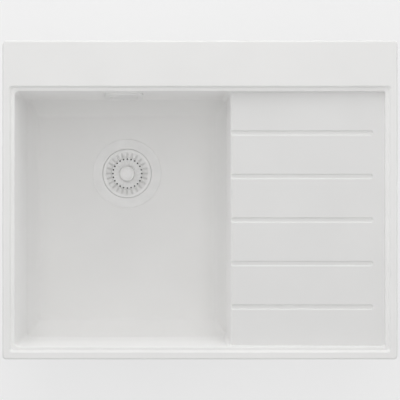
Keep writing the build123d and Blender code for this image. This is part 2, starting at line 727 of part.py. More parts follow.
def strainer_basket():
    """Shallow strainer: flat rim, cone with relief slots, ring of holes and a stem guide."""
    cone_top_z = basket_top_z - BREAK_R
    basket = turned(
        (0, basket_well_z),
        (BASKET_WELL_R, basket_well_z),
        (BASKET_RIM_R, cone_top_z),
        (BASKET_RIM_R + BASKET_RIM_LIP, basket_top_z),
        (BASKET_R, basket_top_z),
        (BASKET_R, basket_seat_z),
        (BASKET_RIM_R, basket_seat_z),
        (BASKET_WELL_R + BASKET_SHEET / 2, basket_well_z - BASKET_SHEET),
        (GUIDE_R, basket_well_z - BASKET_SHEET),
        (GUIDE_R, guide_foot_z),
        (0, guide_foot_z),
        radius=(0, SOFT_R, 0, 0, BREAK_R, BREAK_R, BREAK_R, SOFT_R, SMALL_R, BREAK_R, 0),
    )
    basket -= rod(STEM_R + STEM_CLEARANCE, plug_foot_z, basket_top_z)
    run = BASKET_RIM_R - BASKET_WELL_R
    rise = cone_top_z - basket_well_z
    pitch = math.degrees(math.atan2(rise, run))
    middle_r = (SLOT_INNER_R + SLOT_OUTER_R) / 2
    middle_z = basket_well_z + (middle_r - BASKET_WELL_R) * rise / run
    slot_length = (SLOT_OUTER_R - SLOT_INNER_R) / math.cos(math.radians(pitch))
    cutter = extrude(SlotOverall(slot_length, SLOT_WIDTH), SLOT_DEPTH + 2 * BASKET_SHEET)
    cutter = Pos(middle_r, 0, middle_z) * Rot(0, -pitch, 0) * Pos(0, 0, -SLOT_DEPTH) * cutter
    hole = rod(HOLE_R, basket_well_z - 2 * BASKET_SHEET, basket_well_z + BASKET_SHEET)
    hole = Pos(HOLE_PITCH_R, 0) * hole
    cutters = [place * (cutter + hole) for place in PolarLocations(0, SLOT_COUNT)]
    return basket - cutters


def strainer_knob():
    """Mushroom knob, domed on top, bored for the stem."""
    cap_z = knob_foot_z + KNOB_NECK_HEIGHT
    top_z = cap_z + KNOB_CAP_HEIGHT
    knob = turned(
        (0, knob_foot_z),
        (KNOB_NECK_R, knob_foot_z),
        (KNOB_NECK_R, cap_z),
        (KNOB_R, cap_z + KNOB_UNDERCUT),
        (KNOB_R, top_z - SOFT_R),
        (KNOB_R * KNOB_CROWN, top_z),
        (0, top_z),
        radius=(0, BREAK_R, KNOB_UNDERCUT, SMALL_R, KNOB_SHOULDER_R, KNOB_DOME_R, 0),
    )
    return knob - rod(STEM_R + STEM_CLEARANCE, knob_foot_z - OVERCUT, stem_top_z + KNOB_GAP)


def strainer_stem():
    """Stem from the knob down to the disc that carries the plug's rubber."""
    stem = rod(STEM_R, plug_top_z, stem_top_z)
    disc = turned(
        (0, plug_top_z),
        (PLUG_DISC_R, plug_top_z),
        (PLUG_DISC_R, plug_top_z + PLUG_DISC_THICKNESS),
        (0, plug_top_z + PLUG_DISC_THICKNESS),
        radius=(0, BREAK_R, SMALL_R, 0),
    )
    hub = Pos(0, 0, plug_top_z) * Cone(PLUG_BUTTON_R, STEM_R, hub_top_z - plug_top_z, align=BASE)
    neck = rod(PLUG_NECK_R, plug_sheet_z, plug_top_z)
    button = rod(PLUG_BUTTON_R, plug_sheet_z - PLUG_BUTTON_THICKNESS, plug_sheet_z)
    return stem + disc + hub + neck + button


def strainer_seal():
    """Rubber plug: a disc with a lip that closes over the cup's slots."""
    lip_r = PLUG_R - PLUG_LIP
    seal = turned(
        (0, plug_top_z),
        (PLUG_R, plug_top_z),
        (PLUG_R, plug_foot_z),
        (lip_r, plug_foot_z),
        (lip_r, plug_sheet_z),
        (0, plug_sheet_z),
        radius=(0, SOFT_R, SMALL_R, SMALL_R, SMALL_R, 0),
    )
    return seal - rod(PLUG_NECK_R + STEM_CLEARANCE, plug_foot_z, plug_top_z + OVERCUT)


def hood_space(sheet, foot_z):
    """Space under the hood's leaning front, moved inward by a sheet's thickness."""
    back = bowl_top[BACK]
    top_z = hood_top_z - sheet
    top_y = wall_y(hood_top_z) - HOOD_TOP_PROUD + sheet
    foot_y = wall_y(hood_foot_z) - HOOD_PROUD + sheet
    outline = Polyline((back, top_z), (top_y, top_z), (foot_y, foot_z), (back, foot_z), close=True)
    return Pos(drain_x) * extrude(Plane.YZ * make_face(outline), HOOD_LENGTH, both=True)


def overflow_cover():
    """Hood over the overflow, cut with a U-shaped inlet and open underneath."""
    middle_z = hood_top_z - HOOD_HEIGHT / 2
    reach = (bowl_floor[BACK], bowl_top[BACK])
    shell = upright_slab(HOOD_LENGTH, HOOD_HEIGHT, *reach, HOOD_CORNER_R, middle_z)
    shell &= hood_space(0, hood_foot_z)
    shell = fillet(shell.faces().sort_by(Axis.Y)[0].edges(), HOOD_EDGE_R)
    hollow = hood_space(HOOD_SHEET, hood_foot_z - OVERCUT)
    inner = (HOOD_LENGTH - 2 * HOOD_SHEET, 2 * HOOD_HEIGHT - 2 * HOOD_SHEET)
    hollow &= upright_slab(*inner, *reach, HOOD_CORNER_R - HOOD_SHEET, hood_foot_z)
    inlet_top_z = hood_top_z - INLET_TOP_DROP
    inlet_z = inlet_top_z - INLET_HEIGHT / 2
    inlet = upright_slab(INLET_LENGTH + INLET_SLIT, INLET_HEIGHT, *reach, z=inlet_z)
    tongue_height = INLET_HEIGHT - INLET_SILL
    tongue = upright_slab(INLET_LENGTH - INLET_SLIT, 2 * tongue_height, *reach, z=inlet_top_z)
    return (shell - hollow - (inlet - tongue)) & wall_space()


def overflow_frame():
    """Flanged duct through the bowl's wall, screwed to the housing behind."""
    flange_y = wall_y(duct_z) - FRAME_THICKNESS
    flange = upright_slab(FRAME_LENGTH, FRAME_HEIGHT, flange_y, bowl_top[BACK], PLATE_CORNER_R)
    flange &= wall_space()
    duct_end_y = housing_y + HOUSING_PLATE
    frame = flange + upright_slab(DUCT_LENGTH, DUCT_HEIGHT, flange_y, duct_end_y)
    bore = upright_slab(
        DUCT_LENGTH - 2 * DUCT_WALL,
        DUCT_HEIGHT - 2 * DUCT_WALL,
        flange_y - OVERCUT,
        duct_end_y + OVERCUT,
    )
    return frame - bore - overflow_screw_holes(flange_y - OVERCUT, bowl_top[BACK])


def overflow_screws():
    """Two flat-headed screws from the bowl into the housing's bosses."""
    head_y = wall_y(duct_z) - FRAME_THICKNESS
    end_y = housing_y + HOUSING_BOSS_LENGTH - OVERCUT
    screws = []
    for side in (-1, 1):
        x = side * OVERFLOW_SCREW_X
        head = along_y(x, OVERFLOW_SCREW_HEAD_R, head_y - OVERFLOW_SCREW_HEAD, head_y)
        shank = along_y(x, OVERFLOW_SCREW_R, head_y, end_y)
        slot = Box(3 * OVERFLOW_SCREW_HEAD_R, 2 * OVERFLOW_SLOT_DEPTH, OVERFLOW_SLOT_WIDTH)
        slot = Pos(drain_x + x, head_y - OVERFLOW_SCREW_HEAD, duct_z) * slot
        screws.append(head + shank - slot)
    return Compound(children=screws)


def overflow_gasket():
    """Flat gasket between the bowl's pad and the housing."""
    plate = upright_slab(HOUSING_LENGTH, HOUSING_HEIGHT, pad_y, housing_y, PLATE_CORNER_R)
    reach = (pad_y - OVERCUT, housing_y + OVERCUT)
    return plate - duct_opening(*reach) - overflow_screw_holes(*reach)


def overflow_housing():
    """Box behind the wall that turns the overflow down into its pipe."""
    box_y = housing_y + HOUSING_PLATE
    boss_end_y = housing_y + HOUSING_BOSS_LENGTH
    box_size = (HOUSING_BOX_LENGTH, HOUSING_HEIGHT)
    housing = upright_slab(HOUSING_LENGTH, HOUSING_HEIGHT, housing_y, box_y, PLATE_CORNER_R)
    housing += upright_slab(*box_size, housing_y, housing_back_y, HOUSING_CORNER_R)
    for side in (-1, 1):
        housing += along_y(side * OVERFLOW_SCREW_X, HOUSING_BOSS_R, housing_y, boss_end_y)
    spigot_top_z = duct_z - HOUSING_HEIGHT / 2 + HOUSING_WALL
    axis = Pos(drain_x, pipe_y)
    housing += axis * rod(SPIGOT_R, spigot_end_z, spigot_top_z)
    housing -= upright_slab(
        HOUSING_BOX_LENGTH - 2 * HOUSING_WALL,
        HOUSING_HEIGHT - 2 * HOUSING_WALL,
        box_y,
        housing_back_y - HOUSING_WALL,
    )
    housing -= duct_opening(housing_y - OVERCUT, box_y + OVERCUT)
    housing -= overflow_screw_holes(housing_y - OVERCUT, boss_end_y - OVERCUT / 2)
    housing -= axis * rod(PIPE_BORE_R, spigot_end_z - OVERCUT, spigot_top_z + OVERCUT)
    socket = rod(PIPE_R + PIPE_CLEARANCE, spigot_end_z - OVERCUT, spigot_end_z + SOCKET_DEPTH)
    return housing - axis * socket


def overflow_pipe():
    """Rigid bent pipe from the housing down and forward to the waste body."""
    top = Vector(drain_x, pipe_y, spigot_end_z + PIPE_INSERT)
    corner = Vector(drain_x, pipe_y, waste_inlet_z)
    end = Vector(drain_x, waste_inlet_end_y - PIPE_INSERT, waste_inlet_z)
    route = FilletPolyline(top, corner, end, radius=PIPE_BEND_R)
    section = Plane(top, z_dir=(0, 0, -1)) * (Circle(PIPE_R) - Circle(PIPE_BORE_R))
    return sweep(section, path=route)


def slip_nut():
    """Lobed nut that squeezes a washer onto the pipe; the spigot ends at its z = 0."""
    start = -WASHER_THICKNESS - SLIP_NUT_END
    blank = extrude(RegularPolygon(SLIP_NUT_R, SLIP_NUT_SIDES), SLIP_NUT_LENGTH)
    nut = Pos(0, 0, start) * chamfer(blank.edges().filter_by(Plane.XY), SMALL_R)
    nut -= rod(SPIGOT_R + SLIP_NUT_CLEARANCE, -WASHER_THICKNESS, SLIP_NUT_LENGTH)
    return nut - rod(PIPE_R + PIPE_CLEARANCE, 2 * start, SLIP_NUT_LENGTH)


def slip_washer():
    """Soft washer between the spigot's end and the slip nut."""
    return ring(SPIGOT_R - PIPE_CLEARANCE, PIPE_R + PIPE_CLEARANCE, -WASHER_THICKNESS, 0)


upper_joint = Pos(drain_x, pipe_y, spigot_end_z)
lower_joint = Pos(drain_x, waste_inlet_end_y, waste_inlet_z) * Rot(90, 0, 0)


def clip_insert():
    """Plastic insert pushed up into a moulded boss."""
    insert = rod(INSERT_R - STEM_CLEARANCE, -CLIP_BOSS_DROP, INSERT_LENGTH - CLIP_BOSS_DROP)
    flange = rod(INSERT_FLANGE_R, -CLIP_BOSS_DROP - INSERT_FLANGE, -CLIP_BOSS_DROP)
    bore = rod(CLIP_SCREW_R + STEM_CLEARANCE, -2 * CLIP_BOSS_DROP, 0)
    return insert + flange - bore


def clip_screw():
    """Hex-headed screw that pulls a claw up under the worktop."""
    head_top_z = clip_base_z - CLIP_STRIP - CLIP_HEAD_GAP
    head_foot = Pos(0, 0, head_top_z - CLIP_SCREW_HEAD)
    shank = rod(CLIP_SCREW_R, head_top_z, INSERT_LENGTH - CLIP_BOSS_DROP - OVERCUT)
    slot = Box(3 * CLIP_SCREW_HEAD, CLIP_SLOT_WIDTH, 2 * CLIP_SLOT_DEPTH)
    return shank + head_foot * (hexagon(CLIP_SCREW_FLATS, CLIP_SCREW_HEAD) - slot)


def clip_claw():
    """Bent steel strip: a flat web, a toothed leg that grips and a folded tail."""
    outline = FilletPolyline(
        (-CLIP_TAIL, clip_base_z - CLIP_STRIP),
        (CLIP_REACH, clip_base_z - CLIP_STRIP),
        (CLIP_REACH, clip_tip_z),
        (CLIP_REACH - CLIP_STRIP, clip_tip_z),
        (CLIP_REACH - CLIP_STRIP, clip_base_z),
        (CLIP_STRIP - CLIP_TAIL, clip_base_z),
        (CLIP_STRIP - CLIP_TAIL, clip_base_z + CLIP_TAIL_HEIGHT),
        (-CLIP_TAIL, clip_base_z + CLIP_TAIL_HEIGHT),
        radius=(
            CLIP_BEND_R, CLIP_BEND_R, BREAK_R, BREAK_R,
            BREAK_R, BREAK_R, BREAK_R, BREAK_R,
        ),
        close=True,
    )
    strip = extrude(Plane.XZ * make_face(outline), CLIP_WIDTH / 2, both=True)
    notch = Pos(CLIP_REACH, 0, clip_tip_z) * Box(4 * CLIP_STRIP, CLIP_WIDTH / 3, 2 * CLIP_TOOTH)
    hole = Pos(0, 0, clip_base_z) * Cylinder(CLIP_SCREW_R + CLIP_SCREW_FIT, 3 * CLIP_STRIP)
    return strip - notch - hole


def at_each_clip(solid):
    """Copies of one solid at every clip, as one group."""
    return Compound(children=[Pos(x, y) * solid for _, x, y, _ in CLIPS])


def all_nodes():
    """Every node's name and shape."""
    yield "sink_body", sink_body()
    yield "rim_seal", rim_seal()
    yield "waste_flange", at_drain(waste_flange())
    yield "flange_gasket", at_drain(flange_gasket())
    yield "waste_gasket", at_drain(waste_gasket())
    yield "waste_body", at_drain(waste_body())
    yield "waste_screw", at_drain(waste_screw())
    yield "waste_nut", at_drain(waste_nut())
    yield "strainer_basket", at_drain(strainer_basket())
    yield "strainer_knob", at_drain(strainer_knob())
    yield "strainer_stem", at_drain(strainer_stem())
    yield "strainer_seal", at_drain(strainer_seal())
    yield "overflow_cover", overflow_cover()
    yield "overflow_frame", overflow_frame()
    yield "overflow_screws", overflow_screws()
    yield "overflow_gasket", overflow_gasket()
    yield "overflow_housing", overflow_housing()
    yield "overflow_pipe", overflow_pipe()
    yield "overflow_nut_upper", upper_joint * slip_nut()
    yield "overflow_nut_lower", lower_joint * slip_nut()
    washers = [upper_joint * slip_washer(), lower_joint * slip_washer()]
    yield "overflow_washers", Compound(children=washers)
    yield "clip_inserts", at_each_clip(clip_insert())
    yield "clip_screws", at_each_clip(clip_screw())
    for name, x, y, heading in CLIPS:
        yield "clip_claw_" + name, Pos(x, y) * Rot(0, 0, heading) * clip_claw()


os.makedirs("parts", exist_ok=True)
for node_name, shape in all_nodes():
    export_step(shape, os.path.join("parts", node_name + ".step"))
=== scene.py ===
"""Looks of an inset kitchen sink with one bowl, a grooved drainboard and a basket strainer."""

import json
import logging
import math
from dataclasses import dataclass, field
from enum import Enum
from typing import Mapping, Sequence

import bmesh
import bpy
from mathutils import Matrix, Vector


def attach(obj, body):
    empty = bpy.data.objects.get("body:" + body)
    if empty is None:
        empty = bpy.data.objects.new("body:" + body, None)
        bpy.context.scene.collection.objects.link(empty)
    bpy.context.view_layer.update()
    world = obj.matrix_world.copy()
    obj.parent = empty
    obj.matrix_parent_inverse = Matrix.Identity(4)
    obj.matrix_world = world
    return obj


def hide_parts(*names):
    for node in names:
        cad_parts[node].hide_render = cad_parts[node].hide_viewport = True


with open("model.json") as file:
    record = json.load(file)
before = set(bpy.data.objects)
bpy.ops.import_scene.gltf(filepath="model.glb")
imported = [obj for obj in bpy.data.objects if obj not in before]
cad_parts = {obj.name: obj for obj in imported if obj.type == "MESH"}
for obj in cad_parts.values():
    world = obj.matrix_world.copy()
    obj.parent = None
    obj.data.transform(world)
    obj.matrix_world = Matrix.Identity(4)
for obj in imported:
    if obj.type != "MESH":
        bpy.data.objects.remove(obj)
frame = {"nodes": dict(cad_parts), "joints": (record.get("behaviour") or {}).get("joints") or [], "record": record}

LOG = logging.getLogger("sink")
RIM_TOP = 0.009
SINK_FOOT = -0.286
DRAIN_X = -0.121
DRAIN_Y = 0.044
MERGE = 0.000002
WHITE = (1.0, 1.0, 1.0, 1.0)
UPRIGHT = 0.01
SHARP_ANGLE = math.radians(32.0)
MIX_SHARE, MIX_FIRST, MIX_SECOND = 0, 6, 7
MIX_RESULT = 2
NOISE_MIDDLE = 0.5

Colour = tuple[float, float, float]
Span = tuple[float, float]
Profile = Sequence[tuple[float, float]]


class Slot(Enum):
    """The finishes' names in the record."""

    COMPOSITE_WHITE = "composite_white"
    FLANGE_WHITE = "flange_white"
    STRAINER_WHITE = "strainer_white"
    HOOD_WHITE = "hood_white"
    SEAL_FOAM = "seal_foam"
    RUBBER_DARK = "rubber_dark"
    MOULDED_WHITE = "moulded_white"
    NUT_GREY = "nut_grey"
    STEM_GREY = "stem_grey"
    SCREW_STEEL = "screw_steel"
    CLAW_STEEL = "claw_steel"
    NUT_BRASS = "nut_brass"


# ---- shader maths -------------------------------------------------------------------------


class Signal:
    """An output socket that can be used in Python expressions."""

    def __init__(self, shader: "Shader", socket: bpy.types.NodeSocket) -> None:
        """Wrap a socket of one material's tree.

        Args:
            shader: the tree that the socket belongs to.
            socket: the output socket.
        """
        self.shader = shader
        self.socket = socket

    def _math(self, operation: str, *values: "Signal | float") -> "Signal":
        """Add a Math node and return its result."""
        return self.shader.node("ShaderNodeMath", {"operation": operation}, values)

    def __add__(self, other: "Signal | float") -> "Signal":
        """Sum."""
        return self._math("ADD", self, other)

    def __radd__(self, other: float) -> "Signal":
        """Sum with a number on the left."""
        return self._math("ADD", other, self)

    def __sub__(self, other: "Signal | float") -> "Signal":
        """Difference."""
        return self._math("SUBTRACT", self, other)

    def __rsub__(self, other: float) -> "Signal":
        """Difference from a number on the left."""
        return self._math("SUBTRACT", other, self)

    def __mul__(self, other: "Signal | float") -> "Signal":
        """Product."""
        return self._math("MULTIPLY", self, other)

    def __rmul__(self, other: float) -> "Signal":
        """Product with a number on the left."""
        return self._math("MULTIPLY", other, self)

    def at_most(self, other: "Signal | float") -> "Signal":
        """The smaller of two values."""
        return self._math("MINIMUM", self, other)

    def ramped(self, low: float, high: float) -> "Signal":
        """Smooth rise from 0 at low to 1 at high.

        Args:
            low: the value at which the rise starts.
            high: the value at which it ends.

        Returns:
            The eased value between 0 and 1.
        """
        settings = {"interpolation_type": "SMOOTHSTEP"}
        return self.shader.node("ShaderNodeMapRange", settings, (self, low, high, 0.0, 1.0))


class Shader:
    """The node tree of a material or of the world, built through one node-making method."""

    def __init__(self, owner: bpy.types.Material | bpy.types.World) -> None:
        """Start with an empty tree.

        Args:
            owner: the material or world that the tree belongs to.
        """
        owner.use_nodes = True
        self.owner = owner
        self.tree = owner.node_tree
        self.tree.nodes.clear()

    def node(
        self,
        kind: str,
        settings: Mapping[str, object] | None = None,
        values: Sequence["Signal | float | Colour"] | Mapping[str | int, object] = (),
        output: str | int = 0,
    ) -> Signal | None:
        """Add a node, its settings first, then the values or links of its sockets.

        Args:
            kind: the node's type.
            settings: properties of the node, such as a Math node's operation.
            values: one value per socket in order, or a mapping from sockets to values.
            output: name or number of the output that is returned.

        Returns:
            The chosen output as a signal, or nothing where the tree ends.
        """
        made = self.tree.nodes.new(kind)
        for key, value in (settings or {}).items():
            setattr(made, key, value)
        pairs = values.items() if isinstance(values, Mapping) else enumerate(values)
        for key, value in pairs:
            if isinstance(value, Signal):
                self.tree.links.new(value.socket, made.inputs[key])
            else:
                made.inputs[key].default_value = value
        return Signal(self, made.outputs[output]) if made.outputs else None

    def place(self) -> Signal:
        """Object coordinates in metres."""
        return self.node("ShaderNodeTexCoord", output="Object")

    def parts(self) -> tuple[Signal, Signal, Signal]:
        """Take the object coordinates apart.

        Returns:
            X, Y and Z in metres.
        """
        split = "ShaderNodeSeparateXYZ"
        values = {"Vector": self.place()}
        return tuple(self.node(split, values=values, output=axis) for axis in "XYZ")

    def stretched(self, factors: Colour) -> Signal:
        """Object coordinates stretched along the axes.

        Args:
            factors: factor along X, Y and Z.

        Returns:
            The stretched coordinates.
        """
        return self.node("ShaderNodeMapping", values={"Vector": self.place(), "Scale": factors})

    def noise(self, feature: float, detail: float = 2.0, where: Signal | None = None) -> Signal:
        """Noise whose blotches are about as wide as feature.

        Args:
            feature: width of a blotch in metres.
            detail: number of finer layers.
            where: coordinates, if not the object's own.

        Returns:
            The noise between 0 and 1.
        """
        values = {"Vector": where or self.place(), "Scale": 1.0 / feature, "Detail": detail}
        return self.node("ShaderNodeTexNoise", values=values)

    def cells(self, feature: float) -> Signal:
        """Distance to the nearest point of a scatter, in cell widths."""
        values = {"Vector": self.place(), "Scale": 1.0 / feature}
        return self.node("ShaderNodeTexVoronoi", values=values)

    def blend(self, share: Signal, first: "Colour | Signal", second: "Colour | Signal") -> Signal:
        """Mix two colours.

        Args:
            share: share of the second colour.
            first: the colour at 0.
            second: the colour at 1.

        Returns:
            The mixed colour.
        """
        values = {MIX_SHARE: share}
        for socket, colour in ((MIX_FIRST, first), (MIX_SECOND, second)):
            values[socket] = colour if isinstance(colour, Signal) else (*colour, 1.0)
        return self.node("ShaderNodeMix", {"data_type": "RGBA"}, values, MIX_RESULT)

    def bump(self, height: Signal, depth: float) -> Signal:
        """Surface relief.

        Args:
            height: the height, from 0 up.
            depth: what a height of 1 stands for, in metres.

        Returns:
            The bent normal.
        """
        values = {"Height": height, "Distance": depth, "Strength": 1.0}
        return self.node("ShaderNodeBump", values=values)

    def surface(self, **sockets: object) -> bpy.types.Material:
        """Join a Principled surface to the output.

        Args:
            **sockets: values or signals, named as the sockets with _ for a space.

        Returns:
            The finished material.
        """
        values = {key.replace("_", " "): value for key, value in sockets.items()}
        shade = self.node("ShaderNodeBsdfPrincipled", values=values)
        self.node("ShaderNodeOutputMaterial", values={"Surface": shade})
        return self.owner


def tinted(colour: Colour, factor: float) -> Colour:
    """A colour made lighter or darker.

    Args:
        colour: the colour to start from.
        factor: factor on each part.

    Returns:
        The new colour.
    """
    return tuple(min(1.0, part * factor) for part in colour)


# ---- finishes -----------------------------------------------------------------------------


@dataclass(frozen=True)
class Composite:
    """Fine-grained mineral composite with a soft matte face, and painted shade on the drainboard's recess."""

    colour: Colour = (0.91, 0.907, 0.90)
    roughness: float = 0.52
    cloud: float = 0.09
    speck: float = 0.0009
    cloud_share: float = 0.6
    contrast: Span = (0.25, 0.75)
    darkest: float = 0.985
    palest: float = 1.012
    grain: float = 0.00045
    grain_gloss: float = 0.05
    wave: float = 0.03
    wave_gloss: float = 0.06
    wave_height: float = 2.0
    relief: float = 0.00002
    board_left: float = 0.049
    board_top: float = 0.0032
    board_blend: float = 0.0016
    # painted shade: factor that darkens the colour on the drainboard's recess
    recess_shade: float = 0.935

    def make(self, name: str) -> bpy.types.Material:
        """Build the material.

        Args:
            name: the material's name.

        Returns:
            The material.
        """
        shader = Shader(bpy.data.materials.new(name))
        cloud = shader.noise(self.cloud, detail=3.0) * self.cloud_share
        speck = shader.noise(self.speck, detail=1.0) * (1.0 - self.cloud_share)
        share = (cloud + speck).ramped(*self.contrast)
        # painted shade: a darker copy of the colour for the drainboard's recess, beside the plain one
        plain_tone, shaded_tone = (
            shader.blend(
                share,
                tinted(self.colour, tone * self.darkest),
                tinted(self.colour, tone * self.palest),
            )
            for tone in (1.0, self.recess_shade)
        )
        # mask of the drainboard's recess, right of the bowl and below the ledge, where the painted shade goes
        right, _, up = shader.parts()
        across = right.ramped(self.board_left, self.board_left + self.board_blend)
        below = 1.0 - up.ramped(self.board_top - self.board_blend, self.board_top)
        grain = shader.noise(self.grain)
        wave = shader.noise(self.wave)
        waviness = (wave - NOISE_MIDDLE) * self.wave_gloss
        graininess = (grain - NOISE_MIDDLE) * self.grain_gloss
        return shader.surface(
            Base_Color=shader.blend(across * below, plain_tone, shaded_tone),
            Roughness=self.roughness + waviness + graininess,
            Normal=shader.bump(grain + wave * self.wave_height, self.relief),
            Diffuse_Roughness=1.0,
            Specular_IOR_Level=0.5,
        )


@dataclass(frozen=True)
class Moulded:
    """Injection-moulded plastic with a faint spark-eroded grain."""

    colour: Colour
    roughness: float = 0.42
    cloud: float = 0.02
    cloud_gloss: float = 0.1
    contrast: Span = (0.3, 0.7)
    spread: float = 0.02
    grain: float = 0.0006
    relief: float = 0.00002

    def make(self, name: str) -> bpy.types.Material:
        """Build the material.

        Args:
            name: the material's name.

        Returns:
            The material.
        """
        shader = Shader(bpy.data.materials.new(name))
        cloud = shader.noise(self.cloud)
        grain = shader.noise(self.grain)
        colour = shader.blend(
            cloud.ramped(*self.contrast),
            tinted(self.colour, 1.0 - self.spread),
            tinted(self.colour, 1.0 + self.spread),
        )
        return shader.surface(
            Base_Color=colour,
            Roughness=self.roughness + (cloud - NOISE_MIDDLE) * self.cloud_gloss,
            Normal=shader.bump(grain, self.relief),
        )


@dataclass(frozen=True)
class Rubber:
    """Soft rubber or closed-cell foam."""

    colour: Colour
    roughness: float = 0.62
    dust: float = 0.006
    dust_contrast: Span = (0.35, 0.75)
    dust_gloss: float = 0.18
    dusted: float = 1.5
    pore: float = 0.0007
    pore_contrast: Span = (0.1, 0.6)
    relief: float = 0.00005

    def make(self, name: str) -> bpy.types.Material:
        """Build the material.

        Args:
            name: the material's name.

        Returns:
            The material.
        """
        shader = Shader(bpy.data.materials.new(name))
        dust = shader.noise(self.dust, detail=3.0).ramped(*self.dust_contrast)
        pores = shader.cells(self.pore).ramped(*self.pore_contrast)
        return shader.surface(
            Base_Color=shader.blend(dust, self.colour, tinted(self.colour, self.dusted)),
            Roughness=self.roughness + dust * self.dust_gloss,
            Normal=shader.bump(pores, self.relief),
        )


@dataclass(frozen=True)
class Metal:
    """Drawn or turned metal with fine scratches that run level."""

    colour: Colour
    roughness: float = 0.28
    scratch: float = 0.0012
    scratch_gloss: float = 0.12
    across: Colour = (1.0, 1.0, 12.0)
    tarnish: float = 0.008
    tarnish_gloss: float = 0.1
    contrast: Span = (0.4, 0.8)
    tarnished: float = 0.82
    relief: float = 0.000012

    def make(self, name: str) -> bpy.types.Material:
        """Build the material.

        Args:
            name: the material's name.

        Returns:
            The material.
        """
        shader = Shader(bpy.data.materials.new(name))
        scratches = shader.noise(self.scratch, 3.0, shader.stretched(self.across))
        tarnish = shader.noise(self.tarnish, detail=3.0).ramped(*self.contrast)
        dullness = scratches * self.scratch_gloss + tarnish * self.tarnish_gloss
        return shader.surface(
            Base_Color=shader.blend(tarnish, self.colour, tinted(self.colour, self.tarnished)),
            Metallic=1.0,
            Roughness=self.roughness + dullness,
            Normal=shader.bump(scratches, self.relief),
        )


Finish = Composite | Moulded | Rubber | Metal

FINISHES: dict[Slot, Finish] = {
    Slot.COMPOSITE_WHITE: Composite(),
    Slot.FLANGE_WHITE: Moulded((0.87, 0.867, 0.86), roughness=0.38, grain=0.0009),
    Slot.STRAINER_WHITE: Moulded((0.90, 0.897, 0.89), roughness=0.36),
    Slot.HOOD_WHITE: Moulded((0.905, 0.902, 0.895), roughness=0.38),
    Slot.SEAL_FOAM: Rubber((0.035, 0.035, 0.036), pore=0.0012, relief=0.0002),
    Slot.RUBBER_DARK: Rubber((0.02, 0.02, 0.021)),
    Slot.MOULDED_WHITE: Moulded((0.72, 0.72, 0.705), roughness=0.45),
    Slot.NUT_GREY: Moulded((0.30, 0.31, 0.32), roughness=0.45),
    Slot.STEM_GREY: Moulded((0.42, 0.43, 0.44), roughness=0.4),
    Slot.SCREW_STEEL: Metal((0.56, 0.555, 0.54)),
    Slot.CLAW_STEEL: Metal((0.60, 0.605, 0.60), roughness=0.34, across=(1.0, 1.0, 6.0)),
    Slot.NUT_BRASS: Metal((0.72, 0.52, 0.23), roughness=0.3),
}


@dataclass
class Wardrobe:
    """The finishes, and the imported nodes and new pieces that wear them."""

    finishes: Mapping[Slot, Finish]
    made: dict[Slot, bpy.types.Material] = field(default_factory=dict)

    def material(self, slot: Slot) -> bpy.types.Material:
        """The material of a slot, made once.

        Args:
            slot: the record's material slot.

        Returns:
            The material.
        """
        if slot not in self.made:
            self.made[slot] = self.finishes[slot].make(slot.value)
        return self.made[slot]

    def dress(self, nodes: Mapping[str, bpy.types.Object], record: Mapping[str, object]) -> None:
        """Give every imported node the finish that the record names.

        Args:
            nodes: the nodes by name.
            record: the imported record.
        """
        for part in record["subparts"]:
            node = nodes[part["node"]]
            node.data.materials.clear()
            node.data.materials.append(self.material(Slot(part["material_slot"])))
            LOG.info("node %s wears %s", part["node"], part["material_slot"])

    def hand_over(
        self,
        name: str,
        shape: bmesh.types.BMesh,
        slot: Slot,
        stands_for: Sequence[str] = (),
        body: str = "sink",
    ) -> bpy.types.Object:
        """Turn a finished shape into a piece that rides on a body.

        Args:
            name: the piece's name.
            shape: its mesh, which is freed.
            slot: its finish.
            stands_for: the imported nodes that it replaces.
            body: the body that carries it.

        Returns:
            The piece.
        """
        bmesh.ops.remove_doubles(shape, verts=shape.verts, dist=MERGE)
        bmesh.ops.recalc_face_normals(shape, faces=shape.faces)
        mesh = as_mesh(name, shape)
        mesh.shade_smooth()
        mesh.set_sharp_from_angle(angle=SHARP_ANGLE)
        mesh.materials.append(self.material(slot))
        piece = in_scene(name, mesh)
        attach(piece, body)
        if stands_for:
            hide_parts(*stands_for)
        LOG.info("piece %s: %d faces of %s", name, len(mesh.polygons), slot.value)
        return piece


# ---- shapes that the fittings share -------------------------------------------------------


def as_mesh(name: str, shape: bmesh.types.BMesh) -> bpy.types.Mesh:
    """Turn a shape into a mesh.

    Args:
        name: the mesh's name.
        shape: the shape, which is freed.

    Returns:
        The mesh.
    """
    mesh = bpy.data.meshes.new(name)
    shape.to_mesh(mesh)
    shape.free()
    return mesh


def in_scene(name: str, data: bpy.types.ID) -> bpy.types.Object:
    """Put a mesh, lamp or camera into the scene at the origin.

    Args:
        name: the object's name.
        data: what the object shows.

    Returns:
        The object.
    """
    made = bpy.data.objects.new(name, data)
    bpy.context.scene.collection.objects.link(made)
    return made


def spun(
    profile: Profile, steps: int, climb: float = 0.0, closed: bool = False
) -> bmesh.types.BMesh:
    """Spin a profile once round the Z axis.

    Args:
        profile: the outline's points, as radius and height in metres.
        steps: number of facets round the axis.
        climb: how far the turn climbs, which makes a screw thread.
        closed: whether the last point joins the first.

    Returns:
        The spun surface.
    """
    shape = bmesh.new()
    verts = [shape.verts.new((radius, 0.0, height)) for radius, height in profile]
    ends = verts[1:] + verts[:1] if closed else verts[1:]
    edges = [shape.edges.new(pair) for pair in zip(verts, ends)]
    bmesh.ops.spin(
        shape,
        geom=verts + edges,
        cent=(0.0, 0.0, 0.0),
        axis=(0.0, 0.0, 1.0),
        dvec=(0.0, 0.0, climb / steps),
        angle=math.tau,
        steps=steps,
        use_merge=climb == 0.0,
    )
    bmesh.ops.remove_doubles(shape, verts=shape.verts, dist=MERGE)
    return shape


